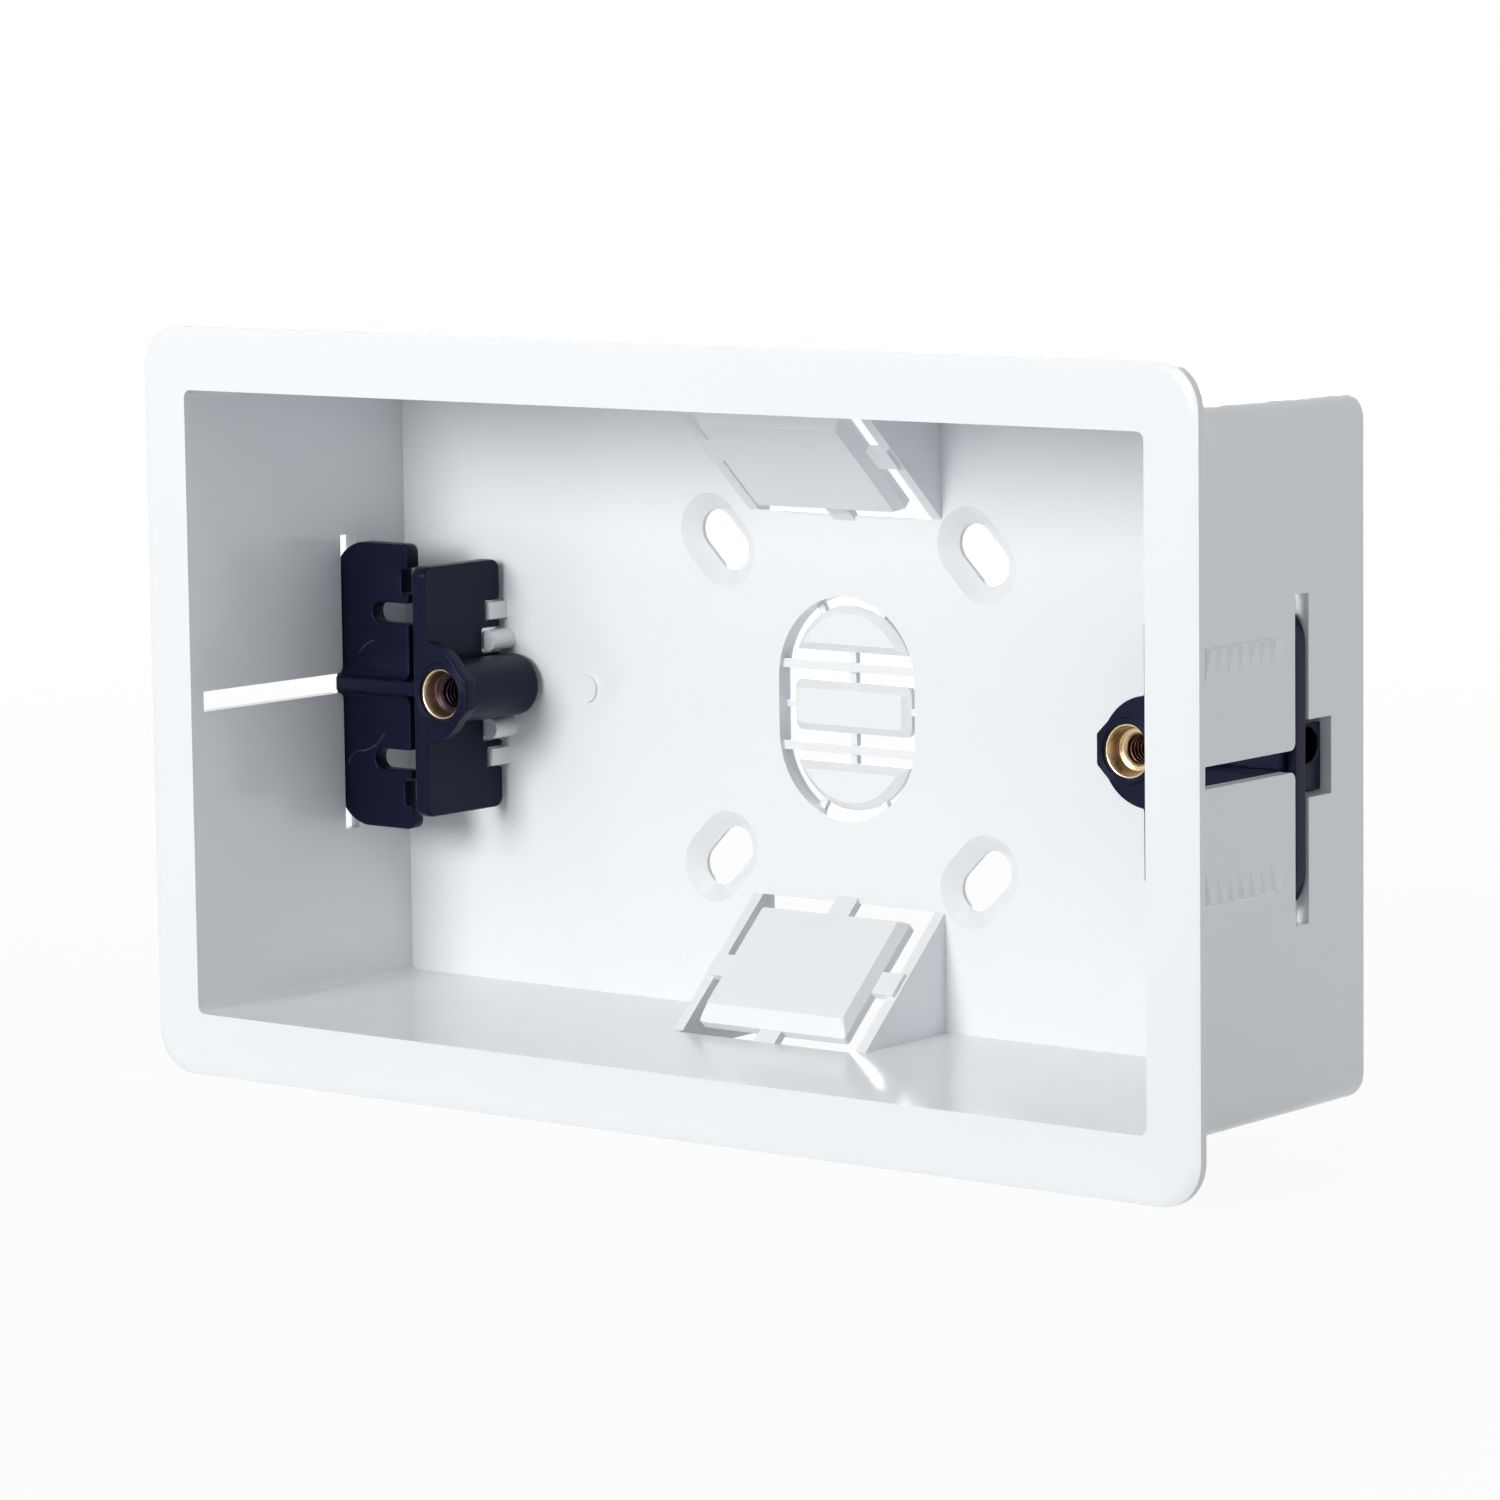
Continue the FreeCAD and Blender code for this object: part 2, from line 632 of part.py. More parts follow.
def side_plate():
    """Upright plate beside the boss, notched at the back for the box's pegs."""
    x1 = SIDE_IN + SIDE_T
    plate = box_between(SIDE_IN, x1, SIDE_FRONT, SIDE_BACK, -SIDE_HALF_H, SIDE_HALF_H)
    corners = [e for e in plate.Edges if abs(e.tangentAt(e.FirstParameter).x) > 0.99]
    plate = plate.makeFillet(SIDE_R, corners)
    cuts = []
    pin_front = DEPTH_IN - PIN_L - PEG_FRONT_GAP
    nub_front = DEPTH_IN - NUB_L - PEG_FRONT_GAP
    nub_half = NUB_SIDE / 2.0 + PEG_GAP
    for side in (-1, 1):
        z = side * PIN_Z
        half = PIN_R + PEG_GAP
        cuts.append(box_between(SIDE_IN - OVER, x1 + OVER, pin_front, SIDE_BACK + OVER, z - half, z + half))
        z = side * NUB_Z
        low = z - nub_half
        high = z + nub_half
        cuts.append(box_between(SIDE_IN - OVER, x1 + OVER, nub_front, SIDE_BACK + OVER, low, high))
    return plate.cut(cuts)


def octagon_head():
    """Eight-sided head round the mouth of the insert."""
    r = HEAD_FLAT / math.cos(math.radians(22.5))
    points = []
    for i in range(8):
        a = math.radians(22.5 + 45.0 * i)
        points.append(V(INSERT_X + r * math.cos(a), SIDE_FRONT, r * math.sin(a)))
    return back_from(outline(points), HEAD_T)


def collar():
    """Round collar that joins the head to the side plate, cut off flush with the plate."""
    disc = rod(COLLAR_X, 0, COLLAR_R, SIDE_FRONT, SIDE_FRONT + HEAD_T)
    outer = SIDE_IN + SIDE_T
    reach = COLLAR_R + OVER
    spare = box_between(
        outer, outer + 2 * COLLAR_R, SIDE_FRONT - OVER, SIDE_FRONT + HEAD_T + OVER, -reach, reach)
    return disc.cut(spare)


def clamp():
    """Right-hand clamp in its stored place, one moulding."""
    boss = rod(INSERT_X, 0, BOSS_R, SIDE_FRONT, BOSS_BACK)
    rear = [e for e in boss.Edges if e.Closed and e.CenterOfMass.y > SIDE_BACK]
    boss = boss.makeChamfer(BOSS_EDGE, rear)
    lip = rod(INSERT_X, 0, HEAD_R, HEAD_FRONT, SIDE_FRONT + SINK)
    solid = wing().fuse([lug(), web(), side_plate(), octagon_head(), collar(), boss, lip])
    socket_back = HEAD_FRONT + INSERT_RECESS + INSERT_L
    socket = rod(INSERT_X, 0, INSERT_R, HEAD_FRONT - OVER, socket_back)
    run = rod(INSERT_X, 0, SCREW_RUN_R, socket_back - SINK, socket_back + SCREW_RUN_L)
    return solid.cut([socket, run]).removeSplitter()


def insert():
    """Brass insert of the right-hand clamp: a sleeve with a wide mouth and a core bore for the thread."""
    front = HEAD_FRONT + INSERT_RECESS
    sleeve = rod(INSERT_X, 0, INSERT_R, front, front + INSERT_L)
    bore = rod(INSERT_X, 0, THREAD_R, front - OVER, front + INSERT_L + OVER)
    mouth = cone(INSERT_X, 0, MOUTH_R, MOUTH_FLOOR_R, front, front + MOUTH_DEPTH)
    floor = front + MOUTH_DEPTH
    lead = cone(INSERT_X, 0, THREAD_R + THREAD_LEAD, THREAD_R, floor, floor + THREAD_LEAD)
    return sleeve.cut([bore, mouth, lead])


def save(name, shape):
    """Write one piece and print its size and count of solids."""
    shape.exportStep("parts/" + name + ".step")
    b = shape.BoundBox
    print(name, "solids", len(shape.Solids), "valid", shape.isValid(),
          "x %.2f %.2f y %.2f %.2f z %.2f %.2f" % (b.XMin, b.XMax, b.YMin, b.YMax, b.ZMin, b.ZMax),
          "volume %.1f" % shape.Volume)


def main():
    os.makedirs("parts", exist_ok=True)
    clamp_right = clamp()
    insert_right = insert()
    save("back_box", tray())
    save("clamp_right", clamp_right)
    save("clamp_left", turned(clamp_right))
    save("insert_right", insert_right)
    save("insert_left", turned(insert_right))


main()
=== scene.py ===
# %% [markdown]
# # A double dry-lining back box, finished in Blender
#
# The object is a white moulded electrical box that is set into a plasterboard wall. Its wide flange
# stays on the face of the board, and two black clamps inside it slide out behind the board and hold
# the box there. Each clamp carries a brass insert for one of the two faceplate screws.
#
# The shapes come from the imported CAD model, which is loaded first and never changed. Blender adds what
# the solids leave out: broken edges, screw threads, the skin of each plastic, scuffs, light and camera.

import bpy
import bmesh
import math
from mathutils import Matrix, Vector


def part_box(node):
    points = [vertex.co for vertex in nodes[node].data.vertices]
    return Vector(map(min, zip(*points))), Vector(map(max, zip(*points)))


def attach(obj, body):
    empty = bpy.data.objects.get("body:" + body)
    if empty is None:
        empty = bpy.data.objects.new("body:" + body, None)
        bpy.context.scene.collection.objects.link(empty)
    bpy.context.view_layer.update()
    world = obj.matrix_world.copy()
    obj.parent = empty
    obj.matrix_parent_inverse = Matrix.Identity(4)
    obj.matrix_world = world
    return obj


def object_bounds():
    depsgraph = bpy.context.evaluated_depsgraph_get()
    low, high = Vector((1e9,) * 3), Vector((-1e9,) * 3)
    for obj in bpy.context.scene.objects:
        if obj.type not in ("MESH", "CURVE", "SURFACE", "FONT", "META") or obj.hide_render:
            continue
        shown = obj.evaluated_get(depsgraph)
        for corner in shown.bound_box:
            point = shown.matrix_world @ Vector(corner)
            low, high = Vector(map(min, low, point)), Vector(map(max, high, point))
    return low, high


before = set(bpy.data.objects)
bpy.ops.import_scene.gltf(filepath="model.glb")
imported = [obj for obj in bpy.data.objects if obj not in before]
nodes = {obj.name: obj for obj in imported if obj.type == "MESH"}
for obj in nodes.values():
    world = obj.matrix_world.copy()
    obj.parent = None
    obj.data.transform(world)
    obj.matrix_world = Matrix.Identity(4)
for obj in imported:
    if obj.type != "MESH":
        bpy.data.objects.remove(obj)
cad_low, cad_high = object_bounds()
print("pieces:", sorted(nodes))
print("box in mm:", [round(1000 * v, 1) for v in cad_high - cad_low])

# %% [markdown]
# ## Values that the lesson uses
#
# Everything below is in metres, in the same frame as the CAD: X to the right seen from the front, Y back
# into the wall, Z up, with the origin in the middle of the front opening. The place of the inserts is
# measured on the solids. The bore, the wide mouth in front of it and the pitch of the thread are the few
# sizes that have to agree with the solids without being measured.

# %% Sizes taken from the solids
MM = 0.001
insert_low, insert_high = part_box("insert_right")
INSERT_X = (insert_low.x + insert_high.x) / 2
INSERT_FRONT = insert_low.y
INSERT_BACK = insert_high.y
CORE_R = 1.45 * MM
MOUTH_DEPTH = 2.05 * MM
MOUTH_FLOOR_R = 2.25 * MM
PITCH = 0.6 * MM
print("insert axis x mm:", round(INSERT_X / MM, 2))
print("insert y mm:", round(INSERT_FRONT / MM, 2), "to", round(INSERT_BACK / MM, 2))

# %% [markdown]
# ## Broken edges
#
# No moulded edge is perfectly sharp: the cutter that made the mould left a small radius, and that radius
# catches a thin line of light. Modelling it in CAD would cost thousands of facets. A Bevel modifier does
# it here, on top of the untouched mesh. The CAD mesh is made of triangles, so a planar Decimate joins
# the flat ones first; otherwise the bevel would trip over the diagonals.
#
# Where a bevel would run past a short edge, Blender can hold back the width of all of them. That suits the
# box, which has many short edges. The clamps have few, so they keep their full width.

# %% Give a node small rounded edges
SEAM = 0.0005 * MM
FLAT_WITHIN = math.radians(0.6)
SHARPER_THAN = math.radians(32.0)
BOX_EDGE = 0.22 * MM
CLAMP_EDGE = 0.24 * MM
INSERT_EDGE = 0.10 * MM


def break_edges(node, width, held_back=True):
    """Rounds the sharp edges of a node; held_back makes all narrower where one edge is short."""
    obj = nodes[node]
    weld = obj.modifiers.new("weld seams", "WELD")
    weld.merge_threshold = SEAM
    flat = obj.modifiers.new("join flat faces", "DECIMATE")
    flat.decimate_type = "DISSOLVE"
    flat.angle_limit = FLAT_WITHIN
    edge = obj.modifiers.new("broken edges", "BEVEL")
    edge.width = width
    edge.segments = 2
    edge.limit_method = "ANGLE"
    edge.angle_limit = SHARPER_THAN
    edge.use_clamp_overlap = held_back
    edge.harden_normals = False
    edge.miter_outer = "MITER_ARC"
    for polygon in obj.data.polygons:
        polygon.use_smooth = True
    smooth = obj.modifiers.new("smooth by weight", "WEIGHTED_NORMAL")
    smooth.keep_sharp = True


break_edges("back_box", BOX_EDGE)
for end_name in ("left", "right"):
    break_edges("clamp_" + end_name, CLAMP_EDGE, held_back=False)
    break_edges("insert_" + end_name, INSERT_EDGE)
depsgraph = bpy.context.evaluated_depsgraph_get()
for name, obj in sorted(nodes.items()):
    print(name, "faces shown:", len(obj.evaluated_get(depsgraph).data.polygons))

# %% [markdown]
# ## The screw threads
#
# The insert is tapped for a 3.5 mm machine screw with a pitch of 0.6 mm. The solid keeps a plain bore at
# the thread's core, which is what a screw measures against. The turns that the eye sees down the mouth
# are a long thin ridge wound along the bore. A ridge is a blunt triangle carried along a helix, so it is
# built point by point: four corners of its section at each step, joined to the next four. It rises from
# nothing at both ends, as a tapped thread does.

# %% Wind a thread ridge inside an insert
STEPS_PER_TURN = 40
RIDGE_HEIGHT = 0.16 * MM
RIDGE_ROOT = 0.03 * MM
RIDGE_HALF_FOOT = 0.27 * PITCH
RIDGE_HALF_CREST = 0.05 * PITCH
RUN_IN = 0.35 * PITCH
RUN_OUT = 0.5 * PITCH
FADE_TURNS = 0.4


def thread_turns(name, side):
    """Helical ridge in the bore of the insert on one side: -1 is the left, 1 the right."""
    start = INSERT_FRONT + MOUTH_DEPTH + RUN_IN
    length = INSERT_BACK - start - RUN_OUT
    count = int(STEPS_PER_TURN * length / PITCH)
    fade_steps = FADE_TURNS * STEPS_PER_TURN
    mesh = bmesh.new()
    rings = []
    for i in range(count + 1):
        angle = 2 * math.pi * i / STEPS_PER_TURN
        crest = RIDGE_HEIGHT * min(1.0, i / fade_steps, (count - i) / fade_steps)
        section = [(RIDGE_ROOT, -RIDGE_HALF_FOOT), (-crest, -RIDGE_HALF_CREST),
                   (-crest, RIDGE_HALF_CREST), (RIDGE_ROOT, RIDGE_HALF_FOOT)]
        ring = []
        for outward, along in section:
            radius = CORE_R + outward
            x = side * INSERT_X + radius * math.cos(angle)
            y = start + PITCH * i / STEPS_PER_TURN + along
            ring.append(mesh.verts.new((x, y, -radius * math.sin(angle))))
        rings.append(ring)
    for a, b in zip(rings, rings[1:]):
        for k in range(len(a)):
            n = (k + 1) % len(a)
            mesh.faces.new((a[k], a[n], b[n], b[k]))
    mesh.faces.new(rings[0][::-1])
    mesh.faces.new(rings[-1])
    bmesh.ops.recalc_face_normals(mesh, faces=mesh.faces)
    data = bpy.data.meshes.new(name)
    mesh.to_mesh(data)
    mesh.free()
    for polygon in data.polygons:
        polygon.use_smooth = True
    obj = bpy.data.objects.new(name, data)
    bpy.context.scene.collection.objects.link(obj)
    print(name, "turns:", round(count / STEPS_PER_TURN, 1))
    return obj


thread_left = thread_turns("thread_left", -1)
thread_right = thread_turns("thread_right", 1)
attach(thread_left, "left_clamp")
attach(thread_right, "right_clamp")

# %% [markdown]
# ## Small helpers for shader nodes
#
# Materials below are made of many small nodes. A few helpers keep them readable: one that sets an input
# or links it, and one for each kind of node that is used again and again. Each returns the socket that
# comes out, so that a formula can be written almost as on paper.

# %% Name the node helpers
NOISE_LOW = 0.3
NOISE_HIGH = 0.7


def feed(tree, value, socket):
    """Links a socket to an input, or sets the input to a number or colour."""
    if isinstance(value, bpy.types.NodeSocket):
        tree.links.new(value, socket)
    else:
        socket.default_value = value


def math_node(tree, operation, a, b=None, clamp=False):
    """Math node whose inputs are sockets or numbers; returns its output."""
    node = tree.nodes.new("ShaderNodeMath")
    node.operation = operation
    node.use_clamp = clamp
    feed(tree, a, node.inputs[0])
    if b is not None:
        feed(tree, b, node.inputs[1])
    return node.outputs[0]


def plus(tree, a, b):
    """Sum of two sockets or numbers."""
    return math_node(tree, "ADD", a, b)


def minus(tree, a, b):
    """The first socket or number less the second."""
    return math_node(tree, "SUBTRACT", a, b)


def times(tree, a, b):
    """Product of two sockets or numbers."""
    return math_node(tree, "MULTIPLY", a, b)


def across(tree, a, b):
    """Length of the line whose two legs are a and b."""
    return math_node(tree, "SQRT", plus(tree, times(tree, a, a), times(tree, b, b)))


def noise(tree, where, scale, detail=3.0, rough=0.5):
    """Value of a noise texture; scale is in features per metre."""
    node = tree.nodes.new("ShaderNodeTexNoise")
    node.inputs["Scale"].default_value = scale
    node.inputs["Detail"].default_value = detail
    node.inputs["Roughness"].default_value = rough
    tree.links.new(where, node.inputs["Vector"])
    return node.outputs["Fac"]


def spread(tree, value, low, high):
    """Maps the range that most of a noise lies in onto low..high, clamped."""
    node = tree.nodes.new("ShaderNodeMapRange")
    node.inputs["From Min"].default_value = NOISE_LOW
    node.inputs["From Max"].default_value = NOISE_HIGH
    feed(tree, low, node.inputs["To Min"])
    feed(tree, high, node.inputs["To Max"])
    tree.links.new(value, node.inputs["Value"])
    return node.outputs["Result"]


def ramp(tree, value, low, high):
    """Maps low..high onto 0..1, clamped; low may be the larger one."""
    node = tree.nodes.new("ShaderNodeMapRange")
    node.inputs["From Min"].default_value = low
    node.inputs["From Max"].default_value = high
    tree.links.new(value, node.inputs["Value"])
    return node.outputs["Result"]


def layered(tree, under, over, mask):
    """Colour under, with colour over on top where the mask is 1; both are sockets or colours."""
    node = tree.nodes.new("ShaderNodeMix")
    node.data_type = "RGBA"
    feed(tree, under, node.inputs["A"])
    feed(tree, over, node.inputs["B"])
    tree.links.new(mask, node.inputs["Factor"])
    return node.outputs["Result"]


def object_place(tree):
    """The place on the object in its own frame, as one vector and as its X, Y and Z."""
    where = tree.nodes.new("ShaderNodeTexCoord").outputs["Object"]
    split = tree.nodes.new("ShaderNodeSeparateXYZ")
    tree.links.new(where, split.inputs[0])
    return where, split.outputs


def new_group(name, inputs, outputs):
    """Empty shader node group; inputs are (name, type, value), outputs are (name, type)."""
    group = bpy.data.node_groups.new(name, "ShaderNodeTree")
    for label, kind, value in inputs:
        socket = group.interface.new_socket(name=label, in_out="INPUT", socket_type=kind)
        socket.default_value = value
    for label, kind in outputs:
        group.interface.new_socket(name=label, in_out="OUTPUT", socket_type=kind)
    given = group.nodes.new("NodeGroupInput").outputs
    results = group.nodes.new("NodeGroupOutput").inputs
    return group, given, results


print("helpers ready; noise is spread from", NOISE_LOW, "to", NOISE_HIGH)

# %% [markdown]
# ## A shared skin for moulded plastic
#
# Both plastics are moulded, so they share one effect: the surface of the mould is very finely textured,
# the gloss varies a little from place to place where the melt cooled at different speeds, and dust and
# handling leave it slightly uneven. It is a node group, so that white and black parts use the same idea
# with their own values. The group gives out only a colour, a roughness and a height.

# %% Build the moulded skin group
CLOUDS = 38.0
WAVES = 55.0
PATCHES = 120.0
SPECKS = 900.0
GRAIN = 2600.0
DUST_ROUGHENS = 0.25
GRAIN_SHARE = 0.25
WAVE_SHARE = 0.3


def moulded_skin_group():
    """Colour, roughness and height of a moulded surface."""
    colour = "NodeSocketColor"
    number = "NodeSocketFloat"
    group, given, results = new_group(
        "moulded skin",
        [("Colour", colour, (0.8, 0.8, 0.8, 1)), ("Cool Colour", colour, (0.8, 0.8, 0.8, 1)),
         ("Gloss Low", number, 0.3), ("Gloss High", number, 0.4),
         ("Dust", number, 0.1), ("Dust Colour", colour, (0.7, 0.7, 0.7, 1))],
        [("Colour", colour), ("Roughness", number), ("Height", number)])
    where = group.nodes.new("ShaderNodeTexCoord").outputs["Object"]
    clouds = spread(group, noise(group, where, CLOUDS, 2.0), 0.0, 1.0)
    tinted = layered(group, given["Colour"], given["Cool Colour"], clouds)
    specks = ramp(group, noise(group, where, SPECKS, 4.0, 0.7), 0.66, 0.74)
    dusty = times(group, specks, given["Dust"])
    group.links.new(layered(group, tinted, given["Dust Colour"], dusty), results["Colour"])
    patches = noise(group, where, PATCHES, 3.0)
    gloss = spread(group, patches, given["Gloss Low"], given["Gloss High"])
    rough = math_node(group, "ADD", gloss, times(group, dusty, DUST_ROUGHENS), clamp=True)
    group.links.new(rough, results["Roughness"])
    grain = times(group, noise(group, where, GRAIN, 2.0), GRAIN_SHARE)
    waves = times(group, noise(group, where, WAVES, 1.0), WAVE_SHARE)
    group.links.new(plus(group, grain, waves), results["Height"])
    return group


moulded_skin = moulded_skin_group()
print("group sockets:", [s.name for s in moulded_skin.interface.items_tree])

# %% [markdown]
# ## The white moulding
#
# The box is a bright, slightly cool white with a clear gloss and a very fine mould texture. The colour is
# kept under full white, because real white plastic doesn't reflect all the light, and a colour of 1 would
# flatten all shading. A clear surface layer isn't needed: the plain specular of the shader already gives
# the soft sheen that is seen on the flange, and the mirrored shapes on the floor of the box.

# %% Make the white plastic
SKIN_RELIEF = 0.05 * MM


def start_material(name):
    """New node material with its tree and its Principled shader."""
    material = bpy.data.materials.new(name)
    material.use_nodes = True
    tree = material.node_tree
    return material, tree, tree.nodes["Principled BSDF"]


def place_skin(tree, shader, values, bump):
    """Puts the moulded skin group into a material; returns its colour."""
    skin = tree.nodes.new("ShaderNodeGroup")
    skin.node_tree = moulded_skin
    for label, value in values.items():
        skin.inputs[label].default_value = value
    relief = tree.nodes.new("ShaderNodeBump")
    relief.inputs["Strength"].default_value = bump
    relief.inputs["Distance"].default_value = SKIN_RELIEF
    tree.links.new(skin.outputs["Height"], relief.inputs["Height"])
    tree.links.new(skin.outputs["Colour"], shader.inputs["Base Color"])
    tree.links.new(skin.outputs["Roughness"], shader.inputs["Roughness"])
    tree.links.new(relief.outputs["Normal"], shader.inputs["Normal"])
    return skin.outputs["Colour"]


white, white_tree, white_shader = start_material("white moulded plastic")
place_skin(
    white_tree, white_shader,
    {"Colour": (0.864, 0.885, 0.903, 1), "Cool Colour": (0.856, 0.879, 0.899, 1),
     "Gloss Low": 0.13, "Gloss High": 0.18, "Dust": 0.10, "Dust Colour": (0.55, 0.55, 0.53, 1)},
    bump=0.10)
white_shader.inputs["IOR"].default_value = 1.50
white_shader.inputs["Specular IOR Level"].default_value = 0.5
print("white plastic nodes:", len(white_tree.nodes))

# %% [markdown]
# ## The black clamps, with their pale arcs
#
# The clamps are a tougher, black plastic, a touch blue where the light glances off. Thin pale curved
# lines are laid into the colour of the wings. A line is part of a ring: the distance from a point to a
# circle gives a thin line, and a window with a low and a high side in X and Z keeps only a piece of it. The
# group below turns a centre, a radius, a width and a window into such a mask, and each line is one copy of
# it.

# %% Build the pale arc group
PALE_ARC_INPUTS = {"Centre X": 0.0, "Centre Z": 0.0, "Radius": 0.01, "Width": 0.0001,
                "Low X": -1.0, "High X": 1.0, "Low Z": -1.0, "High Z": 1.0}
ARC_BREAKUP = 1500.0
FAINTEST = 0.25


def pale_arc_group():
    """Mask of a thin pale arc on a face that looks along Y."""
    group, given, results = new_group(
        "pale curved arc",
        [(label, "NodeSocketFloat", value) for label, value in PALE_ARC_INPUTS.items()],
        [("Mask", "NodeSocketFloat")])
    where, axes = object_place(group)
    off_x = minus(group, axes["X"], given["Centre X"])
    off_z = minus(group, axes["Z"], given["Centre Z"])
    off_line = math_node(group, "ABSOLUTE", minus(group, across(group, off_x, off_z), given["Radius"]))
    off_share = math_node(group, "DIVIDE", off_line, given["Width"])
    line = math_node(group, "SUBTRACT", 1.0, off_share, clamp=True)
    broken = spread(group, noise(group, where, ARC_BREAKUP, 2.0), FAINTEST, 1.0)
    mask = times(group, line, broken)
    for axis in ("X", "Z"):
        past_low = math_node(group, "GREATER_THAN", axes[axis], given["Low " + axis])
        short_of_high = math_node(group, "LESS_THAN", axes[axis], given["High " + axis])
        mask = times(group, times(group, mask, past_low), short_of_high)
    group.links.new(mask, results["Mask"])
    return group


pale_curved_arc = pale_arc_group()
print("scuff inputs:", [s.name for s in pale_curved_arc.interface.items_tree if s.in_out == "INPUT"])

# %% Make the black plastic
PALE_ARC_COLOUR = (0.16, 0.165, 0.18, 1)
PALE_ARC_STRENGTH = 0.55


def black_plastic(name, pale_arcs):
    """Black moulded plastic with thin pale arcs, each a row of the arc group's inputs in mm."""
    material, tree, shader = start_material(name)
    colour = place_skin(
        tree, shader,
        {"Colour": (0.0034, 0.0048, 0.0170, 1), "Cool Colour": (0.0046, 0.0060, 0.0200, 1),
         "Gloss Low": 0.30, "Gloss High": 0.40, "Dust": 0.14, "Dust Colour": (0.12, 0.12, 0.13, 1)},
        bump=0.22)
    shader.inputs["IOR"].default_value = 1.46
    shader.inputs["Specular IOR Level"].default_value = 0.22
    shader.inputs["Specular Tint"].default_value = (0.56, 0.62, 1.0, 1)
    arc_mask = 0.0
    for arc_row in pale_arcs:
        arc = tree.nodes.new("ShaderNodeGroup")
        arc.node_tree = pale_curved_arc
        for label, value in zip(PALE_ARC_INPUTS, arc_row):
            arc.inputs[label].default_value = value * MM
        arc_mask = math_node(tree, "MAXIMUM", arc_mask, arc.outputs["Mask"])
    marked = layered(tree, colour, PALE_ARC_COLOUR, times(tree, arc_mask, PALE_ARC_STRENGTH))
    tree.links.new(marked, shader.inputs["Base Color"])
    return material


black_left = black_plastic("black clamp plastic, left", [
    (-62.2, -9.9, 2.2, 0.12, -64.5, -62.0, -9.5, -7.0),
    (-63.0, -2.7, 5.1, 0.12, -62.0, -58.6, -8.0, -5.5),
    (-58.8, 0.7, 4.6, 0.14, -62.4, -60.0, 3.5, 5.2)])
black_right = black_plastic("black clamp plastic, right", [
    (57.5, -2.0, 6.6, 0.10, 60.0, 64.0, 1.5, 4.2),
    (63.0, 5.0, 5.2, 0.08, 57.5, 59.5, 4.0, 7.5)])
print("black plastics:", black_left.name, "|", black_right.name)

# %% [markdown]
# ## The brass inserts
#
# The inserts are turned on a lathe and pressed into the plastic. Turning leaves rings about their axis
# that stretch every highlight round the hole, and the bore is painted darker as shade.
# Distance from the axis and depth drive the rings and the colours, so they stay in place from every
# side. The rim is pale, the wall of the mouth browner. The ledge and bore of the left insert are painted
# near black as shade, and the ledge of the right one has a painted highlight.

# %% Make the turned brass
RIM_COLOUR = (0.76, 0.66, 0.47, 1)
WALL_COLOUR = (0.42, 0.27, 0.19, 1)
TARNISH = 320.0
RING_PITCH = 0.11 * MM
LEDGE_EDGE = 0.05 * MM


def turned_brass(name, axis_x, painted_ledge_shading, painted_bore_shade):
    """Brass with rings about axis_x along Y, painted light or shade on its ledge, painted shade in its
    bore.
    """
    material, tree, shader = start_material(name)
    where, axes = object_place(tree)
    radius = across(tree, minus(tree, axes["X"], axis_x), axes["Z"])
    depth = minus(tree, axes["Y"], INSERT_FRONT)
    uneven = noise(tree, where, TARNISH, 1.0)
    on_wall = ramp(tree, plus(tree, depth, times(tree, uneven, 0.5 * MM)), 0.4 * MM, 1.9 * MM)
    on_ledge = ramp(tree, radius, MOUTH_FLOOR_R + LEDGE_EDGE, MOUTH_FLOOR_R - LEDGE_EDGE)
    in_bore = ramp(tree, radius, CORE_R + 0.17 * MM, CORE_R + 0.03 * MM)
    tone = layered(tree, RIM_COLOUR, WALL_COLOUR, on_wall)
    # The ledge takes painted light or shade, and the bore takes painted shade.
    tone = layered(tree, tone, painted_ledge_shading, on_ledge)
    tone = layered(tree, tone, painted_bore_shade, in_bore)
    tree.links.new(tone, shader.inputs["Base Color"])
    tree.links.new(spread(tree, uneven, 0.22, 0.32), shader.inputs["Roughness"])
    phase = times(tree, plus(tree, radius, depth), 2 * math.pi / RING_PITCH)
    rings = math_node(tree, "SINE", phase)
    relief = tree.nodes.new("ShaderNodeBump")
    relief.inputs["Strength"].default_value = 0.25
    relief.inputs["Distance"].default_value = 0.01 * MM
    tree.links.new(plus(tree, rings, times(tree, uneven, 0.5)), relief.inputs["Height"])
    tree.links.new(relief.outputs["Normal"], shader.inputs["Normal"])
    shader.inputs["Metallic"].default_value = 1.0
    return material


# Painted shade makes the left ledge and bore near black; a painted highlight makes the right ledge bright.
brass_left = turned_brass(
    "turned brass, left", -INSERT_X, painted_ledge_shading=(0.045, 0.030, 0.038, 1), painted_bore_shade=(0.035, 0.022, 0.030, 1))
brass_right = turned_brass(
    "turned brass, right", INSERT_X, painted_ledge_shading=(0.66, 0.50, 0.31, 1), painted_bore_shade=(0.13, 0.070, 0.062, 1))
print("brass:", brass_left.name, "|", brass_right.name)

# %% [markdown]
# ## Put the finishes on the pieces
#
# The CAD nodes come with plain materials. Clearing the list and adding one finish covers the whole mesh,
# and the threads share the brass of the insert that they are cut in.

# %% Assign materials
def finish_with(obj, material):
    """Gives an object this one material."""
    obj.data.materials.clear()
    obj.data.materials.append(material)


finish_with(nodes["back_box"], white)
finish_with(nodes["clamp_left"], black_left)
finish_with(nodes["clamp_right"], black_right)
finish_with(nodes["insert_left"], brass_left)
finish_with(nodes["insert_right"], brass_right)
finish_with(thread_left, brass_left)
finish_with(thread_right, brass_right)

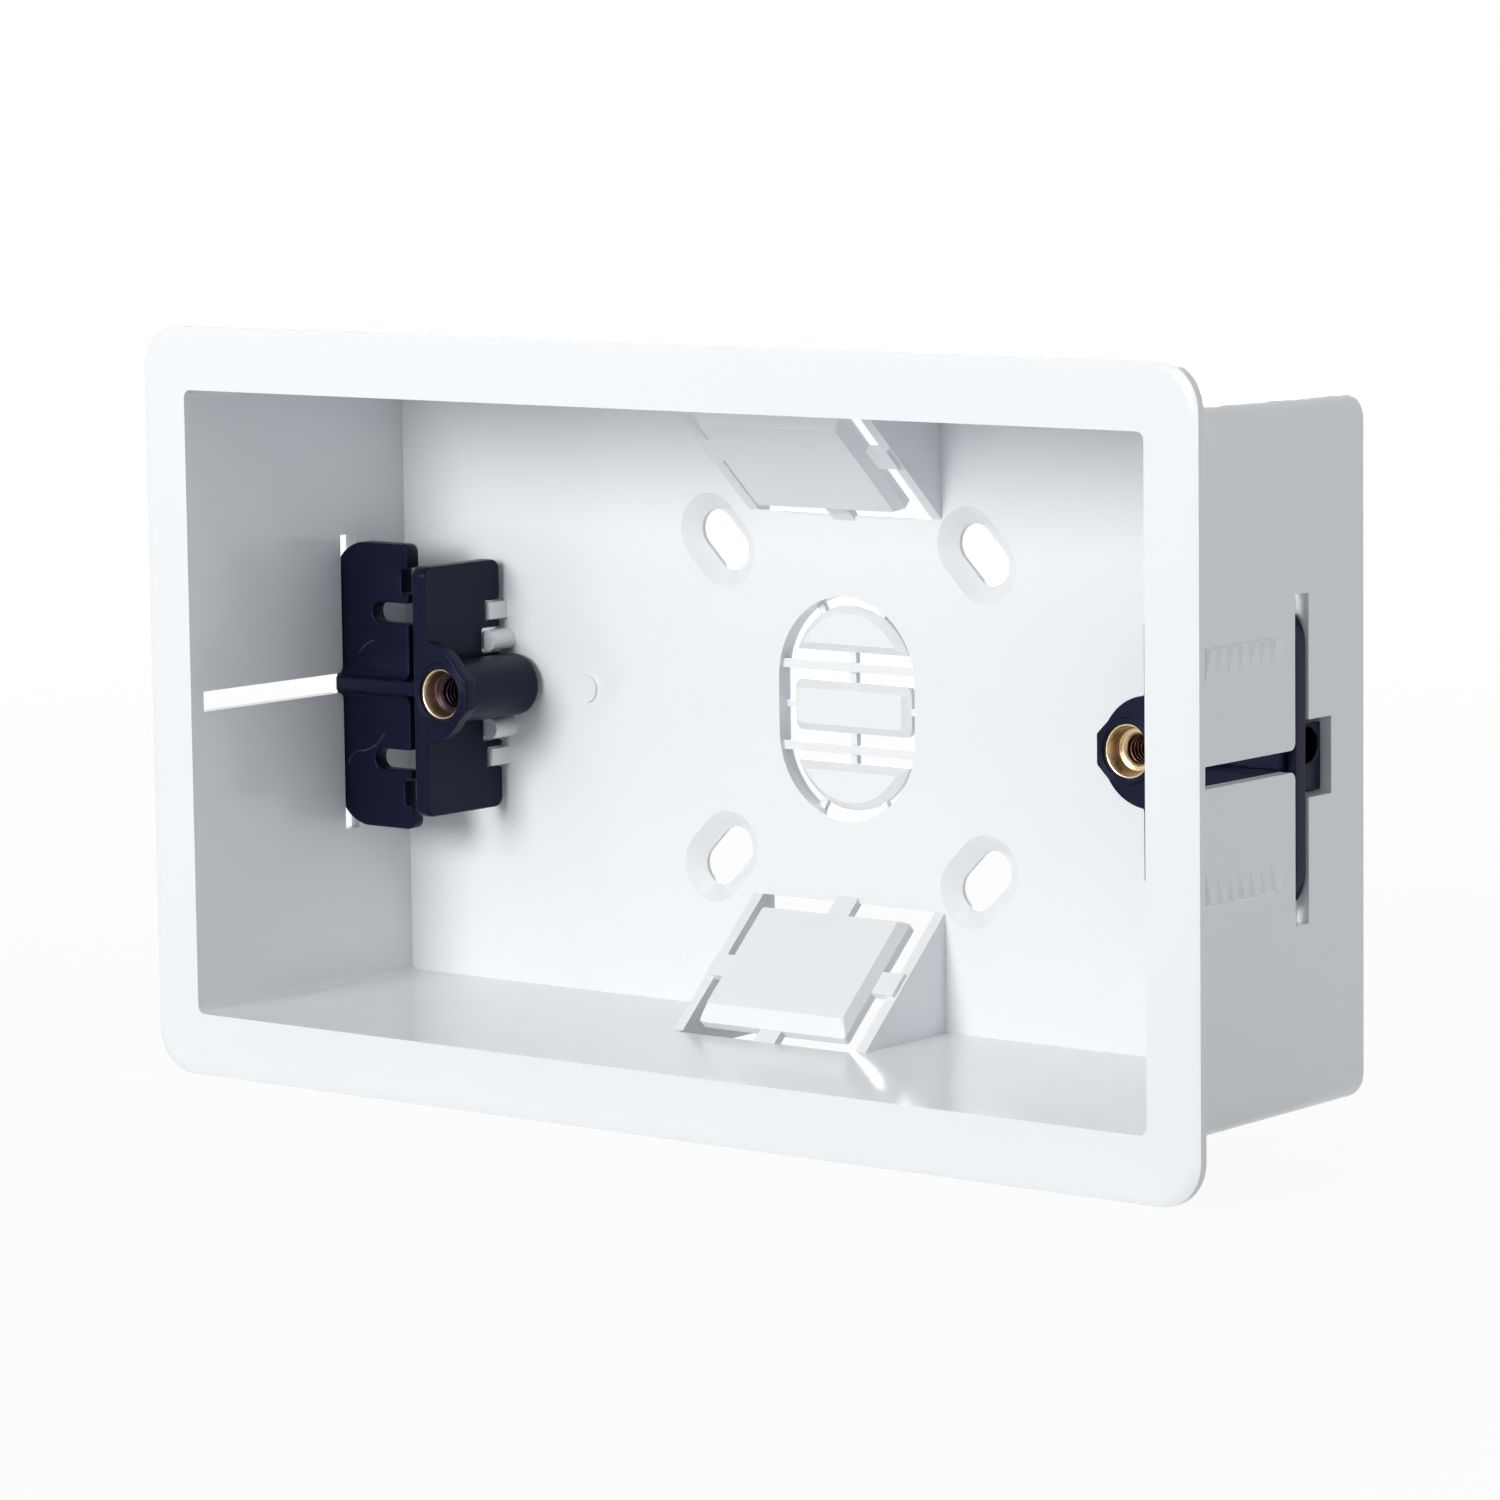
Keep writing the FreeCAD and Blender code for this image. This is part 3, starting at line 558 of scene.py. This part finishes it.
# %% [markdown]
# ## Floor and background
#
# The box stands on a plain pale floor that runs out to a white background. The world is white only where
# the camera, a glossy reflection or a transmitted ray sees it; the light that it sheds on the object is
# set apart. The floor mixes a real diffuse surface, which takes the shadow, with a glow that only those
# rays see, and the glow takes over with distance so that no horizon shows.

# %% Lay the floor
FLOOR_Z = cad_low.z - 0.05 * MM
FLOOR_HALF = 6.0
GLOW_NEAR = 0.94
NEAR_R = 0.10
FAR_R = 0.55


def seen_directly(tree):
    """1 for camera, glossy and transmission rays, 0 for the rays that light the object."""
    path = tree.nodes.new("ShaderNodeLightPath")
    either = math_node(tree, "MAXIMUM", path.outputs["Is Camera Ray"], path.outputs["Is Glossy Ray"])
    return math_node(tree, "MAXIMUM", either, path.outputs["Is Transmission Ray"])


def mix_into(tree, share, first, second, output):
    """Feeds an output with two shaders mixed; share is how much of the second."""
    mix = tree.nodes.new("ShaderNodeMixShader")
    tree.links.new(share, mix.inputs[0])
    tree.links.new(first.outputs[0], mix.inputs[1])
    tree.links.new(second.outputs[0], mix.inputs[2])
    tree.links.new(mix.outputs[0], output.inputs["Surface"])


def floor_material():
    """Matte floor that glows white to the camera, the more the farther from the object."""
    material = bpy.data.materials.new("pale floor")
    material.use_nodes = True
    tree = material.node_tree
    tree.nodes.clear()
    matte = tree.nodes.new("ShaderNodeBsdfDiffuse")
    matte.inputs["Color"].default_value = (0.64, 0.66, 0.69, 1)
    glow = tree.nodes.new("ShaderNodeEmission")
    glow.inputs["Color"].default_value = (1, 1, 1, 1)
    glow.inputs["Strength"].default_value = 1.0
    place = tree.nodes.new("ShaderNodeTexCoord")
    from_middle = tree.nodes.new("ShaderNodeVectorMath")
    from_middle.operation = "LENGTH"
    tree.links.new(place.outputs["Object"], from_middle.inputs[0])
    far = tree.nodes.new("ShaderNodeMapRange")
    far.inputs["From Min"].default_value = NEAR_R
    far.inputs["From Max"].default_value = FAR_R
    far.inputs["To Min"].default_value = GLOW_NEAR
    far.inputs["To Max"].default_value = 1.0
    tree.links.new(from_middle.outputs["Value"], far.inputs["Value"])
    share = times(tree, far.outputs["Result"], seen_directly(tree))
    mix_into(tree, share, matte, glow, tree.nodes.new("ShaderNodeOutputMaterial"))
    return material


corners = [(x * FLOOR_HALF, y * FLOOR_HALF, FLOOR_Z) for x, y in ((-1, -1), (1, -1), (1, 1), (-1, 1))]
floor_mesh = bpy.data.meshes.new("floor")
floor_mesh.from_pydata(corners, [], [(0, 1, 2, 3)])
floor_mesh.materials.append(floor_material())
floor = bpy.data.objects.new("floor", floor_mesh)
bpy.context.scene.collection.objects.link(floor)
print("floor at z mm:", round(FLOOR_Z / MM, 1))

# %% Put up the white background
AMBIENT = 0.09


def background(tree, colour, strength):
    """Background node of this colour and strength."""
    node = tree.nodes.new("ShaderNodeBackground")
    node.inputs["Color"].default_value = colour
    node.inputs["Strength"].default_value = strength
    return node


world = bpy.data.worlds.new("studio")
bpy.context.scene.world = world
world.use_nodes = True
sky = world.node_tree
sky.nodes.clear()
around = background(sky, (0.97, 0.985, 1.0, 1), AMBIENT)
paper = background(sky, (1, 1, 1, 1), 1.0)
mix_into(sky, seen_directly(sky), around, paper, sky.nodes.new("ShaderNodeOutputWorld"))
print("ambient light:", AMBIENT)

# %% [markdown]
# ## Light
#
# The brightest faces are the front ones and the back wall, the floor of the box comes next, and the walls
# that face right are the darkest white ones. That tells where the light is: one large soft source in
# front, slightly to the left and above, and a weak one overhead for the floor of the box. The side lamp
# stands a little behind the flange, so it lights the outside wall and gives the ratchet teeth their shade,
# but hardly comes in through the opening. The fill lamp is so weak that the inside of the left wall stays
# grey. The rear lamp lights the back of the box for anyone who walks round it. All lamps are wide, so that
# shadows inside the box stay soft.

# %% Place the lamps
def soft_lamp(name, direction, distance, size, power, colour):
    """Round area lamp that shines on the object from this direction."""
    data = bpy.data.lights.new(name, "AREA")
    data.shape = "DISK"
    data.size = size
    data.energy = power
    data.color = colour
    lamp = bpy.data.objects.new(name, data)
    bpy.context.scene.collection.objects.link(lamp)
    towards = Vector(direction).normalized()
    middle = (cad_low + cad_high) / 2
    lamp.location = middle + towards * distance
    lamp.rotation_mode = "QUATERNION"
    lamp.rotation_quaternion = (-towards).to_track_quat("-Z", "Y")
    print(name, "at", [round(v, 2) for v in lamp.location], "power", power)


soft_lamp("front lamp", (-0.12, -1.0, 0.26), distance=1.1, size=0.50, power=8.6, colour=(1.0, 0.997, 0.985))
soft_lamp("top lamp", (0.05, -0.48, 1.0), distance=1.0, size=0.7, power=1.75, colour=(0.98, 0.99, 1.0))
soft_lamp("fill lamp", (0.9, -0.8, 0.75), distance=1.0, size=0.3, power=0.30, colour=(0.99, 1.0, 0.99))
soft_lamp("side lamp", (1.0, 0.15, 0.40), distance=1.0, size=0.6, power=2.3, colour=(0.97, 1.0, 0.995))
soft_lamp("rear lamp", (-0.55, 1.0, 0.45), distance=1.1, size=0.6, power=8.0, colour=(0.98, 0.99, 1.0))

# %% [markdown]
# ## Camera
#
# The photograph was taken with a long lens from the front right, a little above the box. The camera was
# worked out from the straight edges of the flange, so its place, lens and tilt are numbers. The lens is
# aimed along the line of sight first, and then rolled about it by the small angle that the edges show.

# %% Set the camera
LENS_MM = 148.95
SENSOR_MM = 36.0
EYE = Vector((0.4157288, -0.4955360, 0.0793809))
SIGHT = Vector((-0.6239486, 0.7716845, -0.1232525)).normalized()
ROLL = math.radians(-0.7281534)
level = SIGHT.cross(Vector((0, 0, 1))).normalized()
upward = level.cross(SIGHT)
right = level * math.cos(ROLL) + upward * math.sin(ROLL)
head = upward * math.cos(ROLL) - level * math.sin(ROLL)
turn = Matrix((right, head, -SIGHT)).transposed()
camera_data = bpy.data.cameras.new("camera")
camera_data.lens = LENS_MM
camera_data.sensor_width = SENSOR_MM
camera_data.sensor_fit = "AUTO"
camera_data.clip_start = 0.01
camera_data.clip_end = 50.0
camera = bpy.data.objects.new("camera", camera_data)
bpy.context.scene.collection.objects.link(camera)
camera.matrix_world = Matrix.Translation(EYE) @ turn.to_4x4()
bpy.context.scene.camera = camera
bpy.context.scene.view_settings.view_transform = "Standard"
print("camera", [round(v, 3) for v in EYE], "lens", LENS_MM)
